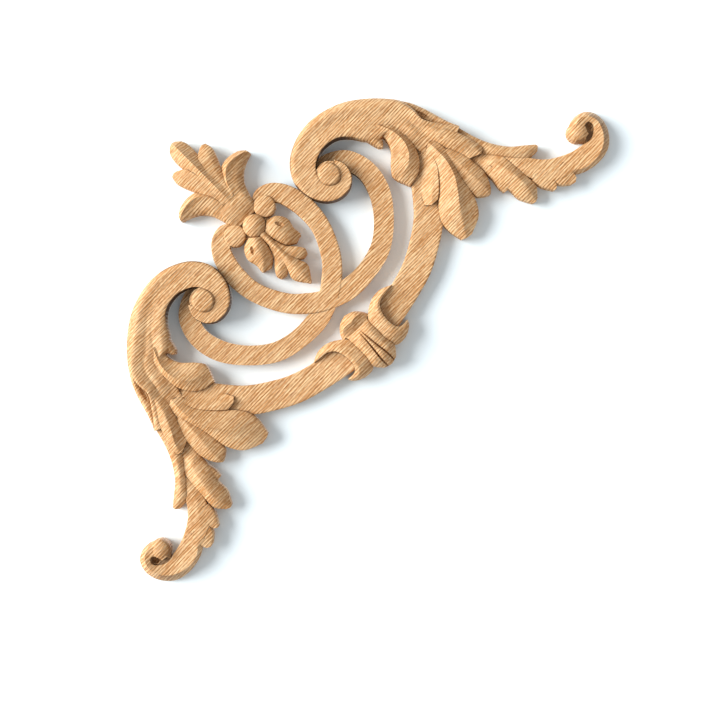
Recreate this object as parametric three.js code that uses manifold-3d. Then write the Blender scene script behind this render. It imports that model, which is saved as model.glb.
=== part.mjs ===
import * as THREE from 'three';
import { mergeVertices } from 'three/addons/utils/BufferGeometryUtils.js';
import Module from 'manifold-3d';

// A carved oak corner applique with a flat back, millimetres, +Z up, front toward -Y.
// The carving is laid out as an upright crest that is the same on both sides of X = 0.
// A carving point is [across, up, high]: X, Z and the height above the flat back.
// The finished crest is turned to sit in a corner, so that its palmette points up and left.
const cornerTurn = -Math.PI / 4;

// Driving dimensions. The right half of the crest is drawn, and the left half is its mirror image.
const bandTop = 9;
const bandUnder = 8;
const stemFoot = 4.5;
const buttonCentre = [13, 103.8];
const buttonRadius = 6.8;
const buttonTop = 10.8;
const eyeCentre = [55, 88.9];
const eyeRadius = 6.1;
const eyeTop = 17.2;
const eyeBedRadius = 8.4;
const eyeBedTop = 15.1;
const curlBallCentre = [182.5, -0.8];
const curlBallRadius = 6.4;
const curlBallTop = 15.3;
const curlBedCentre = [187, -5];
const curlBedRadius = 6.5;
const curlBedTop = 9.2;
const berryCentre = [0, 99.5];
const berryRadius = 7.2;
const berryRim = 11;
const berryTop = 16.5;
const roundSteps = 16;

// One solid under a net of rails, each rail a smooth curve through its carving points.
// The section between two rails is bowed by swell: 1 rounds it over, -1 hollows it.
function relief(rails, { along = 8, across = 2, swell = 0.8 } = {}) {
  const curves = rails.map((rail) => new THREE.CatmullRomCurve3(
    rail.map(([x, z, high]) => new THREE.Vector3(x, -high, z)), false, 'centripetal'));
  const bows = Array.isArray(swell) ? swell : curves.slice(1).map(() => swell);
  const rows = [];
  for (let i = 0; i <= along; i += 1) {
    const knots = curves.map((curve) => curve.getPoint(i / along));
    const row = [knots[0]];
    for (let j = 1; j < knots.length; j += 1) {
      const rise = Math.abs(knots[j].y - knots[j - 1].y);
      for (let k = 1; k <= across; k += 1) {
        const share = k / across;
        const point = knots[j - 1].clone().lerp(knots[j], share);
        point.y -= bows[j - 1] * rise * share * (1 - share);
        row.push(point);
      }
    }
    rows.push(row);
  }
  return solidUnder(rows);
}

// Closes a net of surface points down to the flat back at Y = 0.
function solidUnder(rows) {
  const last = rows[0].length - 1;
  const net = rows.map((row) => {
    const left = new THREE.Vector3(row[0].x, 0, row[0].z);
    const right = new THREE.Vector3(row[last].x, 0, row[last].z);
    return [left, ...row, right];
  });
  const triangles = [];
  const quad = (a, b, c, d) => triangles.push(a, b, c, a, c, d);
  for (let i = 0; i + 1 < net.length; i += 1) {
    for (let j = 0; j <= last + 1; j += 1) {
      quad(net[i][j], net[i + 1][j], net[i + 1][j + 1], net[i][j + 1]);
    }
    quad(net[i][last + 2], net[i + 1][last + 2], net[i + 1][0], net[i][0]);
  }
  for (let j = 1; j <= last + 1; j += 1) {
    triangles.push(net[0][0], net[0][j], net[0][j + 1]);
    triangles.push(net.at(-1)[0], net.at(-1)[j + 1], net.at(-1)[j]);
  }
  const geometry = new THREE.BufferGeometry().setFromPoints(triangles);
  return outward(mergeVertices(geometry, 1e-4));
}

// Turns a closed mesh so that its faces point out, whichever way it was wound.
function outward(geometry) {
  const { array } = geometry.attributes.position;
  const faces = geometry.index.array;
  const corner = (k) => new THREE.Vector3().fromArray(array, 3 * faces[k]);
  let volume = 0;
  for (let k = 0; k < faces.length; k += 3) {
    volume += corner(k).dot(corner(k + 1).cross(corner(k + 2)));
  }
  if (volume < 0) {
    geometry.setIndex(Array.from(faces).reverse());
  }
  return geometry;
}

// The value of an evenly spaced list at a share of its length.
function valueAt(list, share) {
  const place = share * (list.length - 1);
  const index = Math.min(Math.floor(place), list.length - 2);
  return THREE.MathUtils.lerp(list[index], list[index + 1], place - index);
}

// A turned boss standing on the back, from [radius, height] steps of its profile.
function boss([x, z], steps) {
  const profile = [[0, 0], [steps[0][0], 0], ...steps];
  const geometry = new THREE.LatheGeometry(
    profile.map(([radius, high]) => new THREE.Vector2(radius, high)), roundSteps);
  geometry.rotateX(Math.PI);
  geometry.translate(x, 0, z);
  geometry.deleteAttribute('normal');
  geometry.deleteAttribute('uv');
  return outward(withoutSlivers(mergeVertices(geometry, 1e-4)));
}

// Drops the flat triangles that a turned profile leaves on its axis.
function withoutSlivers(geometry) {
  const faces = geometry.index.array;
  const kept = [];
  for (let k = 0; k < faces.length; k += 3) {
    const [a, b, c] = faces.slice(k, k + 3);
    if (a !== b && b !== c && c !== a) {
      kept.push(a, b, c);
    }
  }
  geometry.setIndex(kept);
  return geometry;
}

// The points of a domed boss, from its rim at rimTop up to its crown.
function dome(radius, rimTop, crown, count) {
  const steps = [];
  for (let i = 0; i <= count; i += 1) {
    const angle = (i / count) * Math.PI / 2;
    steps.push([radius * Math.cos(angle), rimTop + (crown - rimTop) * Math.sin(angle)]);
  }
  steps[count][0] = 0;
  return steps;
}

// An egg-shaped tool for a small hollow, lying on the line from one end to the other.
function scoop([x0, z0], [x1, z1], radius, high) {
  const geometry = new THREE.SphereGeometry(1, 10, 6);
  geometry.scale(Math.hypot(x1 - x0, z1 - z0) / 2, radius * 2, radius);
  geometry.rotateY(-Math.atan2(z1 - z0, x1 - x0));
  geometry.translate((x0 + x1) / 2, -high, (z0 + z1) / 2);
  geometry.deleteAttribute('normal');
  geometry.deleteAttribute('uv');
  return outward(withoutSlivers(mergeVertices(geometry, 1e-4)));
}

function mirrored(geometry) {
  return outward(geometry.clone().scale(-1, 1, 1));
}

// The spiral ring's two edges, from the small curl round the heart to under the volute.
const ringOuter = [
  [8, 110.3], [15, 114.5], [24, 112.7], [31.8, 104.5], [36.4, 90], [35.2, 71], [26, 50.2], [16, 38.9],
  [5, 31], [-12, 24.7], [-30, 24.8], [-48, 29.3], [-65, 42.6], [-76.3, 58.5], [-79.4, 76], [-74, 92.2],
  [-62, 100.6], [-50, 101.5],
];
const ringInner = [
  [12, 99], [17, 103], [20, 100.8], [22.2, 95.5], [23.9, 85.5], [23, 72], [14, 54.5], [7, 47.8],
  [0, 42.6], [-13, 37.8], [-28, 36.8], [-43, 40.6], [-56, 51], [-64.2, 63.5], [-66.8, 76], [-62, 88],
  [-54, 92.4], [-46, 93],
];
const ringFall = [0, 0, 0, 0, 0, 0, 0, 0, 0, 0, 0, 0, 0, 0, 0.2, 1.8, 3.6, 4.5];

// One ring, whose top drops to endTop where it crosses the other.
function ring(endTop) {
  const tops = ringFall.map((fall, index) => (index < 9 ? bandTop : endTop) - fall);
  const edge = (points) => points.map(([x, z], index) => [x, z, tops[index]]);
  return relief([edge(ringOuter), edge(ringInner)], { along: 33, across: 1 });
}

// The arc that joins the knot to the leaves, by its upper and lower edge.
const arc = relief([
  [[6, 11, 11.6], [22, 12.5, 10.8], [36, 14.3, 9.3], [50, 18.8, bandTop], [62, 25.3, bandTop],
    [74, 33.8, bandTop], [86, 47.6, bandTop], [98, 64, bandTop], [103, 74, bandTop]],
  [[6, -9, 11.6], [24, -6.5, 10.6], [40, -3.1, 9.2], [56, 1.6, bandTop], [70, 8.8, bandTop],
    [84, 18.3, bandTop], [98, 33, bandTop], [108, 50, bandTop], [113, 62, bandTop]],
], { along: 14, across: 1 });

// The volute and arm: its two outlines, from the eye round and over to the leaves.
const armOuter = [
  [63.5, 94], [66.5, 86.5], [63.9, 78], [58, 73.8], [50, 73.6], [42.4, 77.8], [37.2, 85.8],
  [35.4, 94.5], [37.1, 103.3], [43.9, 112.4], [56, 118.9], [68, 120.9], [80, 119.4], [92, 115],
  [103, 107.5], [112, 98.7], [118.6, 89.6], [120, 80.5], [119.6, 72.5], [124, 65], [133, 53.4],
];
const armInner = [
  [60.5, 88], [60, 84.5], [57.5, 81.5], [54.5, 81.2], [51.5, 82.8], [49.3, 85.5], [48.3, 89], [49, 93],
  [50.8, 96.3], [54.5, 99.8], [61, 102.6], [67.5, 103], [74.3, 101.2], [80.6, 96], [85.4, 89],
  [91.4, 82.6], [96.4, 82], [100, 77], [102, 69.5], [104.5, 61.5], [110, 42],
];

// The arm's ridges and flutes: shares of its width and heights, from the eye to the leaves.
const armFlutes = [
  {
    share: [0, 0, 0, 0, 0, 0, 0, 0, 0, 0, 0],
    high: [14.2, 14.2, 14.2, 14.1, 13.8, 12.9, 11.5, 11.2, 13, 16.3, 12.8],
  },
  {
    share: [0.08, 0.08, 0.08, 0.12, 0.2, 0.18, 0.24, 0.23, 0.1, 0.04, 0.1],
    high: [15.3, 15.3, 15.3, 15.3, 15.4, 15.6, 16, 16.6, 16.9, 17, 14.5],
  },
  {
    share: [0.45, 0.45, 0.45, 0.45, 0.45, 0.5, 0.5, 0.48, 0.43, 0.35, 0.45],
    high: [15.3, 15.3, 15.3, 15.3, 15.3, 15.4, 15.3, 15.1, 14.9, 14, 13],
  },
  {
    share: [0.5, 0.5, 0.5, 0.5, 0.5, 0.56, 0.56, 0.54, 0.51, 0.5, 0.6],
    high: [15.3, 15.3, 15.3, 15.3, 15.3, 15.4, 15.3, 15.2, 15.1, 14.5, 11.5],
  },
  {
    share: [0.6, 0.6, 0.6, 0.6, 0.6, 0.62, 0.62, 0.6, 0.71, 0.81, 0.8],
    high: [15.3, 15.3, 15.3, 15.3, 15.3, 15.4, 15.4, 15, 14, 12.6, 11],
  },
  {
    share: [0.93, 0.93, 0.93, 0.93, 0.93, 0.93, 0.9, 0.82, 0.89, 0.9, 0.9],
    high: [15.3, 15.3, 15.3, 15.3, 15.4, 15.6, 16, 16.3, 16, 12, 11],
  },
  {
    share: [1, 1, 1, 1, 1, 1, 1, 1, 1, 1, 1],
    high: [15.1, 15.1, 15.1, 15.1, 15.1, 15.3, 15.5, 14.6, 13.4, 11, 10.5],
  },
];

function arm() {
  const rails = armFlutes.map(({ share, high }) => armOuter.map(([x, z], index) => {
    const place = index / (armOuter.length - 1);
    const [innerX, innerZ] = armInner[index];
    const across = valueAt(share, place);
    return [
      THREE.MathUtils.lerp(x, innerX, across),
      THREE.MathUtils.lerp(z, innerZ, across),
      valueAt(high, place),
    ];
  }));
  return relief(rails, { along: 33, across: 1 });
}

// The leaf lobes of the arm, each by one edge, its crest and its other edge.
const thumb = relief([
  [[82, 95, 13.5], [86, 89, 13.2], [87.3, 84, 12.4], [88.5, 79.8, 10.8]],
  [[85, 96.5, 16.2], [89, 90.5, 15.8], [90.7, 84, 14.6], [90.6, 77.9, 11.8]],
  [[89, 97, 15.8], [92.6, 91, 14.6], [94, 84.6, 13.4], [92.8, 79.8, 11]],
], { along: 5, across: 1 });
const curl = relief([
  [[93.8, 89, 14], [95.2, 80, 13.4], [92.8, 73, 13.6], [86.2, 66.2, 13.6], [82.4, 61, 13],
    [82.5, 57, 11.6]],
  [[97.4, 90, 16], [101.3, 79, 17.4], [101.2, 69, 17.8], [97.2, 61.6, 17.2], [91, 57.8, 15.4],
    [83, 56, 12]],
  [[99, 88, 14.5], [104.6, 78, 12.8], [105, 66, 12.4], [101.5, 57, 12.4], [94.5, 50.8, 12],
    [85.8, 48.8, 10.8]],
], { along: 10, swell: [-0.3, 0] });
const armLobe = relief([
  [[105, 61, 9], [98.5, 53, 9], [92, 46, 9], [86.8, 40, 9], [83.6, 34, 10.8]],
  [[107.5, 56.5, 12.2], [103.5, 48, 13], [97.5, 41, 13], [91, 35.3, 12.8], [86.6, 31.2, 12.2]],
  [[109, 54, 13.8], [105.6, 45.5, 14], [100.3, 38.8, 13.8], [94.6, 33, 13], [91.8, 30.7, 12]],
], { across: 1 });
const greatLobe = relief([
  [[106, 56, 12.3], [104.5, 46, 12.3], [99, 38, 12], [93.4, 31.8, 11.5], [88, 26.3, 11],
    [83.6, 19, 10.5], [83.2, 11.5, 10], [84.8, 3, 9.5]],
  [[112, 60, 14.6], [112.3, 52, 16], [111.6, 43, 17.2], [108.3, 33.2, 18.2], [102, 23.8, 18],
    [97.3, 17.5, 16.6], [92.3, 9.4, 13.6], [87.6, 1.6, 9.8]],
  [[116, 58, 12.5], [117, 50, 12.8], [115, 42, 12.8], [111.9, 32, 12.2], [110.3, 23, 11.8],
    [108.6, 15, 11], [102.8, 6, 10], [92, 0.9, 9]],
], { along: 10, swell: [0.35, -0.2] });
const middleLobe = relief([
  [[113, 50, 12], [112, 40, 12], [110.8, 30, 12], [110, 20, 11], [110.3, 15, 10.3], [113, 12.4, 9.6],
    [116.5, 10.2, 9]],
  [[115.8, 50, 13.2], [116, 40, 14.4], [116.4, 30, 14.8], [117.4, 21, 13.8], [117.6, 16, 12.5],
    [117.2, 12, 10.8], [117, 10.1, 9.2]],
  [[121, 46, 10.8], [123, 38, 11.4], [123.8, 31, 11.6], [124.2, 24, 11], [123, 18.5, 10.3],
    [120.3, 13, 9.8], [117.6, 10.2, 9]],
], { along: 7, across: 1 });
const cap = relief([
  [[112.5, 68, 12.6], [113.6, 62.5, 12.4], [115, 56.5, 11.8], [116.6, 51, 11.2], [118.6, 46.5, 11],
    [120.6, 42, 11], [121.8, 38.5, 11], [122.2, 35.6, 11]],
  [[118.5, 70, 15.5], [119.4, 63, 16], [121, 56, 16.6], [123.4, 50.5, 16.8], [125.6, 45.5, 16.6],
    [128.5, 40.5, 16], [130.4, 36, 14.8], [130.6, 31.9, 13]],
  [[121.5, 68, 14], [123.5, 62, 14.3], [127, 56, 14.6], [129.4, 50.8, 14.3], [131.2, 45.5, 13.8],
    [132.4, 41, 13.2], [133.4, 36.5, 12.6], [133.7, 33.6, 12]],
], { along: 7, across: 1 });
const outerLobe = relief([
  [[114.5, 91, 10], [117.4, 85, 9], [118.6, 76, 7.5], [121, 68, 8], [126.5, 59, 9.5], [131.5, 53.8, 9.5]],
  [[115.4, 93, 10.5], [120, 85.6, 11.6], [123.6, 77.5, 11], [126, 69, 11], [129.3, 60.5, 11.4],
    [132.8, 53.8, 11]],
  [[116, 94.2, 9.5], [122, 85.6, 9], [125.6, 77.3, 8.5], [128.4, 68, 8.5], [131, 59.5, 9],
    [133.6, 53.6, 9]],
], { along: 7, across: 1 });

// The tail: its own leaf, the teeth along its foot and the stem that ends in a curl.
const tailTooth = relief([
  [[132.2, 55, 8.5], [134.3, 46, 9.3], [137, 38, 9.6], [141, 30, 10], [147, 22, 10], [153.2, 17, 9.5],
    [158.8, 12.4, 8.5]],
  [[130, 54, 9], [131.5, 45, 10.2], [134, 36, 11.2], [138.7, 27, 13], [145, 19, 13], [151.5, 13.2, 12],
    [159.2, 10.6, 9]],
  [[127, 53, 8.5], [128, 43, 8.8], [130.5, 33, 9], [137, 24, 11], [143, 16.3, 11.5], [149.7, 9.4, 10.5],
    [156.4, 8.4, 8.5]],
], { along: 7, across: 1 });
const tailLobe = relief([
  [[122.6, 38, 8], [123.6, 30, 8.4], [124.4, 22, 9.2], [125.2, 12, 10], [127.8, 3, 10],
    [127.9, -4, 9.5], [131.9, -12.3, 8.5]],
  [[128, 37, 8], [130, 30, 9], [132.4, 22, 12.4], [134.9, 12, 14.8], [136.1, 3, 15], [135.9, -4, 13.6],
    [134, -13.1, 9]],
  [[137.6, 33, 9], [138.6, 26, 10], [139.4, 19, 11], [140.3, 10, 10.8], [141, 2, 10], [141, -6, 9.5],
    [136.6, -11.9, 8.5]],
], { along: 9, swell: [0.9, 0.25] });
const tailNick = relief([
  [[125.4, 24, 9], [124.7, 15, 9], [123.8, 9.5, 8.8], [124.3, 5, 8.5]],
  [[127.6, 24, 11.5], [126.8, 15, 11], [125.9, 9.6, 10], [125.4, 4.8, 8.8]],
  [[129.5, 23, 12], [129, 14, 12], [128.4, 8, 11], [127.2, 4.7, 9]],
], { along: 4, across: 1 });
const firstTooth = relief([
  [[141.4, -2, 10.6], [142.8, -9, 10.2], [146.8, -16, 9.6]],
  [[146, -1, 11.3], [147, -9, 11], [148.2, -16.4, 10]],
  [[152, -3, 11.4], [151.5, -10, 11.1], [150.4, -14.6, 10.3]],
], { along: 4, across: 1 });
const lastTooth = relief([
  [[150.3, -9, 11], [152, -16.3, 10.5], [157.4, -21.3, 9.8]],
  [[156, -8, 11.4], [157.5, -14.5, 11.2], [159.8, -21.7, 10.1]],
  [[163, -8, 11.4], [163.4, -14, 11.3], [162.3, -19.8, 10.4]],
], { along: 4, across: 1 });
const stem = relief([
  [[138, 22, 10.2], [141, 2, 10.4], [148, -10, 10.8], [160, -16, 11], [170, -21.6, stemFoot],
    [180.3, -23.4, stemFoot], [190.6, -20.9, stemFoot], [198, -12.8, stemFoot], [199.9, -4, 5],
    [197.2, 3.3, 5.5], [190.6, 6.9, 6.5], [183.6, 6.1, 8], [178.8, 2.3, 9.5], [177.9, -3.6, 9.5],
    [181.2, -8.8, 9]],
  [[142, 22, 11], [145, 6, 11.4], [153, -6, 11.7], [163, -14.5, 11.7], [170, -19.6, 11.8],
    [180, -20.3, 11.8], [188, -17.2, 12.2], [193.7, -10.6, 12.8], [195.5, -4, 13.3], [193.6, 1.2, 13.7],
    [189.6, 4, 14], [184.8, 3.4, 14.4], [181.6, 0.4, 14.6], [181.4, -3.6, 14.3], [183.2, -6.6, 13]],
  [[146, 18, 10.8], [150.7, 8.1, 10.8], [157, 0.8, 10.8], [164.2, -3.8, 10.6], [171, -6.8, 10.4],
    [178.2, -8.4, 10.2], [185.2, -9.6, 10.6], [190.2, -6.9, 11.5], [192.2, -3.8, 12.3],
    [191.2, -1.2, 12.8], [189.2, -0.8, 13.1], [187.4, -1.8, 13.4], [186.6, -3.3, 13.4],
    [186.4, -4.8, 13.1], [186.4, -6.3, 12.3]],
], { along: 24, across: 1 });

// The knot on the arc, its rolled rim and the cuffs that the arc comes out of.
const knotBody = relief([
  [[8.6, 11.5, 13.2], [8.4, 8, 14.6], [8.2, 3, 15.8], [8.2, -6, 15.4], [9.4, -13.6, 12], [5.6, -19, 9]],
  [[4.6, 11.5, 13.2], [4.6, 8, 15.8], [4.6, 3, 18.2], [5, -6, 18], [5.6, -13.5, 16.4], [4.2, -19.8, 10]],
  [[1.6, 11.5, 13.2], [1.5, 7, 16.4], [1.6, 3, 18.4], [2.5, -6, 18.1], [3.4, -13.5, 16.6],
    [3.2, -20.1, 10]],
  [[0.6, 11.5, 13.2], [0.6, 7, 16.2], [0.9, 3, 16.6], [1.8, -6, 15.2], [2.7, -13.5, 13.2],
    [2.6, -20.3, 8]],
  [[0.3, 11.5, 13.2], [0.3, 7, 16.4], [0.3, 3, 18.4], [1, -6, 18.2], [1.8, -13.5, 16.8],
    [2, -20.5, 10.4]],
  [[0, 11.5, 13.2], [0, 7, 16.4], [0, 3, 18.5], [0, -6, 18.6], [0, -13.5, 17.4], [0, -20.9, 11]],
], { along: 7, across: 1 });
const knotRim = relief([
  [[11.6, 10.6, 9.5], [9.6, 15, 9.8], [5.6, 19, 10.3], [0, 20.9, 11]],
  [[9.2, 10.6, 13.4], [7.4, 14.6, 16], [4, 15.6, 17.6], [0, 14.8, 18.2]],
  [[8, 8.4, 14], [6.4, 8.4, 14.2], [3.4, 8.8, 14.6], [0, 9, 14.8]],
], { along: 6, swell: [0.5, -0.5] });
const cuff = relief([
  [[34, 14, 9.4], [27, 16.8, 9.8], [20, 16.4, 10], [13, 12.8, 11.8], [8.4, 8, 14.4], [8.1, 0, 15.4],
    [8.2, -8, 14.6], [10.4, -14.8, 10.5], [18.4, -15, 9], [24.6, -11.4, 8.5], [26.2, -8.6, 8.5]],
  [[33.7, 13.7, 10.8], [28.5, 13.8, 13.8], [23, 13.2, 15.2], [18.4, 10.4, 16.6], [15.8, 5, 17.2],
    [15.2, -1, 17.2], [15.8, -6, 16.8], [17.6, -9.8, 15.4], [20.6, -11, 13.8], [23.8, -10, 12.2],
    [25.8, -8.5, 10.2]],
  [[33.6, 13.4, 10.4], [28.4, 12.9, 13.4], [24, 12.2, 14.4], [19.7, 9.4, 15.8], [17.5, 4.4, 16.4],
    [17, -1.8, 16.4], [17.7, -5.4, 15.8], [19.4, -7.9, 14.4], [21.4, -8.6, 13.2], [23.6, -8.6, 12],
    [25.5, -8.3, 10]],
], { along: 14, swell: [0.5, 0.3] });

// The palmette: a ridged blade with side points and a rolled leaf on either side.
const blade = relief([
  [[0, 114, 12.2], [0, 121, 14.1], [0, 129, 15.6], [0, 139, 16.8], [0, 152, 17.2], [0, 163, 15.8],
    [0, 168.6, 13.6], [0, 171.8, 10.6]],
  [[5, 114, 11.6], [5, 121, 13], [5.2, 129, 13.4], [5.6, 139, 12.8], [6.2, 152.5, 11.2],
    [6.8, 162.6, 9.8], [5.4, 168.2, 9.6], [2.4, 171.2, 9.6]],
], { along: 8, across: 1 });
const bladePoint = relief([
  [[0.4, 122, 13], [1, 138, 14.8], [3.6, 149, 14], [5.2, 154, 12.8], [9.8, 157.4, 10]],
  [[4, 122, 13.8], [6.4, 138, 14], [10, 148.6, 13.4], [11.4, 154, 12.2], [12.2, 158, 10.2]],
  [[6.6, 124, 12.6], [10.4, 138.5, 11.6], [14, 147, 10.8], [15.6, 152.5, 10.4], [14.7, 157, 9.8]],
], { along: 7, across: 1 });
const rolledLeaf = relief([
  [[2.5, 118, 12], [3.6, 128.8, 11.5], [6.9, 134.9, 10.5], [10.5, 139.6, 10], [17.5, 141.2, 9.8],
    [25.5, 139.6, 9.6], [29.4, 136.6, 9.5]],
  [[4.2, 117.5, 12.4], [6, 128, 14.6], [9.4, 133.6, 15.2], [13.8, 137, 15.4], [19.5, 137.6, 15],
    [25.5, 136.6, 13.6], [29.8, 135, 10.5]],
  [[7.6, 115.5, 11.6], [10.5, 125.5, 13], [14.5, 131, 12.8], [18.5, 134, 12.8], [22, 134.8, 12.4],
    [26.5, 134.8, 11.6], [30, 134.2, 10]],
  [[10.8, 112.5, 9], [14.3, 122.8, 9.3], [17, 126.3, 9.2], [19.5, 128.7, 9], [23, 130.8, 9],
    [26.5, 132.2, 9], [30.1, 133.3, 8.8]],
], { along: 8, across: 1 });
const neck = relief([
  [[0, 105.5, 9.5], [0, 111, 12.4], [0, 117, 13.7], [0, 127, 13.4]],
  [[7, 106, 9.3], [8.4, 111, 11.6], [8.4, 117, 12.8], [7, 126, 11.4]],
  [[9.4, 107, 8.5], [11, 112, 9], [12, 117.5, 9], [13, 122, 8.6]],
], { along: 4, swell: [0.1, 0.8] });

// The drop under the palmette: twin buds and a small hanging leaf.
const stalk = relief([
  [[0, 112, 8.5], [0, 104, 8.5], [0, 96, 8.5], [0, 84, 8]],
  [[7.5, 110, 8], [9, 104, 8], [9.5, 96, 8], [4.5, 84, 8]],
], { along: 2, across: 1 });
const bud = relief([
  [[8, 96.8, 10], [14.2, 94.3, 10], [17.7, 88, 10], [16.5, 81.5, 9.5], [17, 76.4, 8.5]],
  [[5, 94, 14], [8, 89.5, 15.5], [9.5, 84, 15], [12.3, 79, 13], [16.4, 75.5, 9]],
  [[2, 92, 12], [2.4, 88, 12], [3.4, 83, 11], [5.8, 77.4, 10], [11, 73.8, 8.5]],
]);
const hangingRib = relief([
  [[0, 94, 13.5], [0, 80, 13.5], [0, 66, 13], [0, 57, 12], [0, 50.2, 9]],
  [[2.4, 94, 11.5], [2.4, 80, 11], [4.6, 66, 10.5], [6.5, 59.5, 9.5], [0.8, 50.4, 8.5]],
], { along: 7, across: 1 });
const hangingPoint = relief([
  [[2.5, 85, 9], [5.4, 77, 9.5], [9.8, 72, 9.5], [12.4, 67.5, 9], [11.4, 64.6, 8.5]],
  [[2, 85, 11], [4.5, 75, 11.5], [7.4, 70, 11.5], [9.4, 66.8, 10.5], [9.6, 64, 8.8]],
  [[1, 85, 12], [1.8, 73, 12], [3.2, 68.5, 11], [5, 65.6, 9.8], [7.2, 63.8, 8.5]],
], { along: 6, across: 1 });

const button = boss(buttonCentre, [
  [buttonRadius, buttonTop - 0.8], [buttonRadius - 1, buttonTop], [0, buttonTop],
]);
const eye = boss(eyeCentre, [
  [eyeRadius + 1.3, eyeTop - 2.3], [eyeRadius, eyeTop - 0.2], [eyeRadius - 0.4, eyeTop], [0, eyeTop - 0.8],
]);
const eyeBed = boss(eyeCentre, [[eyeBedRadius, eyeBedTop - 0.2], [0, eyeBedTop]]);
const curlBed = boss(curlBedCentre, [[curlBedRadius, curlBedTop - 0.2], [0, curlBedTop]]);
const curlBall = boss(curlBallCentre, dome(curlBallRadius, curlBallTop - 5.8, curlBallTop, 4));
const berry = boss(berryCentre, dome(berryRadius, berryRim, berryTop, 4));

const half = [
  arc, arm(), thumb, curl, armLobe, greatLobe, middleLobe, cap, outerLobe, tailTooth, tailLobe, tailNick,
  firstTooth, lastTooth, stem, knotBody, knotRim, cuff, blade, bladePoint, rolledLeaf, neck, stalk, bud,
  hangingRib, hangingPoint, button, eye, eyeBed, curlBed, curlBall,
];

// Small egg-shaped hollows: the slot in a bud, the eyelet of the arm and the hole in the tail's curl.
const hollows = [
  scoop([10.4, 91.9], [13.2, 86.3], 1.45, 14.8),
  scoop([189.5, -0.2], [189, -6.2], 2.5, 10.5),
  scoop([120.4, 79.6], [123.2, 69], 1.5, 11),
];

// All the forms are one piece of wood, so they are joined into one solid.
const wasm = await Module();
wasm.setup();

function solid(geometry) {
  return new wasm.Manifold(new wasm.Mesh({
    numProp: 3,
    vertProperties: new Float32Array(geometry.attributes.position.array),
    triVerts: new Uint32Array(geometry.index.array),
  }));
}

let carving = solid(ring(bandUnder)).add(solid(mirrored(ring(bandTop))));
carving = carving.add(solid(berry));
for (const form of half) {
  carving = carving.add(solid(form)).add(solid(mirrored(form)));
}
for (const hollow of hollows) {
  carving = carving.subtract(solid(hollow)).subtract(solid(mirrored(hollow)));
}
const cut = carving.getMesh();
const carved = new THREE.BufferGeometry();
carved.setAttribute('position', new THREE.BufferAttribute(cut.vertProperties, 3));
carved.setIndex(new THREE.BufferAttribute(cut.triVerts, 1));
carved.computeVertexNormals();

const oak = new THREE.MeshStandardMaterial({ color: 0xdeb078, roughness: 0.62, metalness: 0 });
const applique = new THREE.Mesh(carved, oak);
applique.name = 'applique';
applique.rotation.y = cornerTurn;

const group = new THREE.Group();
group.add(applique);
export default group;
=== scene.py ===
import math

import bpy
from mathutils import Matrix, Vector


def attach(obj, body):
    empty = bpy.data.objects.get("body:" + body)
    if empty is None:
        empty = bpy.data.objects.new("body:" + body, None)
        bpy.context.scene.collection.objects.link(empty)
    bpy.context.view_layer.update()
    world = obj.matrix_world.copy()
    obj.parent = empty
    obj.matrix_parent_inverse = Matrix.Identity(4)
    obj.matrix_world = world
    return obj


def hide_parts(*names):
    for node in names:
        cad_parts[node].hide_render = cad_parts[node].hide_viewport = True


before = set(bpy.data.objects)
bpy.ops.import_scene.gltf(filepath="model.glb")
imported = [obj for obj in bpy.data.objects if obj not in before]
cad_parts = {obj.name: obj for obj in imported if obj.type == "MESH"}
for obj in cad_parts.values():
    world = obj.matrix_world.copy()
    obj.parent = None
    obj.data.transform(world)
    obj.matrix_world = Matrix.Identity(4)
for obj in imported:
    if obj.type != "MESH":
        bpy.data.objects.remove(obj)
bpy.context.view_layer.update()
print("frame loaded")

# The carving is laid out upright, in millimetres, as [across, up, high above the back].
# Its right half is modelled, mirrored, and then turned to sit in a corner.
mm = 0.001
cornerTurn = math.radians(-45)

# Rims are eased over by rimRound, down to rimFloor above the back at the lowest. Points nearer the
# diagonal than onDiagonal aren't eased. plainSwell bows a form that gives no swell of its own, and
# leastRadius is the point a turned boss closes in.
rimRound, rimFloor, onDiagonal = 0.45, 0.5, 0.01
plainSwell = 0.8
leastRadius = 0.05


def pick(piece):
    bpy.ops.object.select_all(action="DESELECT")
    bpy.context.view_layer.objects.active = piece
    piece.select_set(True)


def faceOutward():
    # in edit mode: every face of the piece is turned outward, and edit mode is left
    bpy.ops.mesh.select_all(action="SELECT")
    bpy.ops.mesh.normals_make_consistent(inside=False)
    bpy.ops.object.mode_set(mode="OBJECT")


def curvePoint(rail, share):
    # centripetal curve through the rail's points, share 0 at its start and 1 at its end
    place = share * (len(rail) - 1)
    index = min(int(place), len(rail) - 2)
    here = place - index
    b, c = Vector(rail[index]), Vector(rail[index + 1])
    a = Vector(rail[index - 1]) if index > 0 else 2 * b - c
    d = Vector(rail[index + 2]) if index + 2 < len(rail) else 2 * c - b
    stepA, stepB, stepC = [max(math.sqrt((q - p).length), 1e-4) for p, q in ((a, b), (b, c), (c, d))]
    leave = ((b - a) / stepA - (c - a) / (stepA + stepB) + (c - b) / stepB) * stepB
    arrive = ((c - b) / stepB - (d - b) / (stepB + stepC) + (d - c) / stepC) * stepB
    square, cube = here * here, here * here * here
    return (b * (2 * cube - 3 * square + 1) + leave * (cube - 2 * square + here)
            + c * (3 * square - 2 * cube) + arrive * (cube - square))


def softenedRow(row):
    # the rim at either end of a row is eased over, but not where the row ends on the diagonal
    for end, inner in ((0, 1), (-1, -2)):
        step = row[inner] - row[end]
        step.z = 0
        if step.length > 1e-6 and row[end].x > onDiagonal:
            soft = row[end] + step.normalized() * min(rimRound, 0.5 * step.length)
            edge = row[end].copy()
            edge.z = max(edge.z - rimRound, rimFloor)
            row = [edge, soft] + row[1:] if end == 0 else row[:-1] + [soft, edge]
        else:
            row = [row[0]] + row if end == 0 else row + [row[-1]]
    return row


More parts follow.
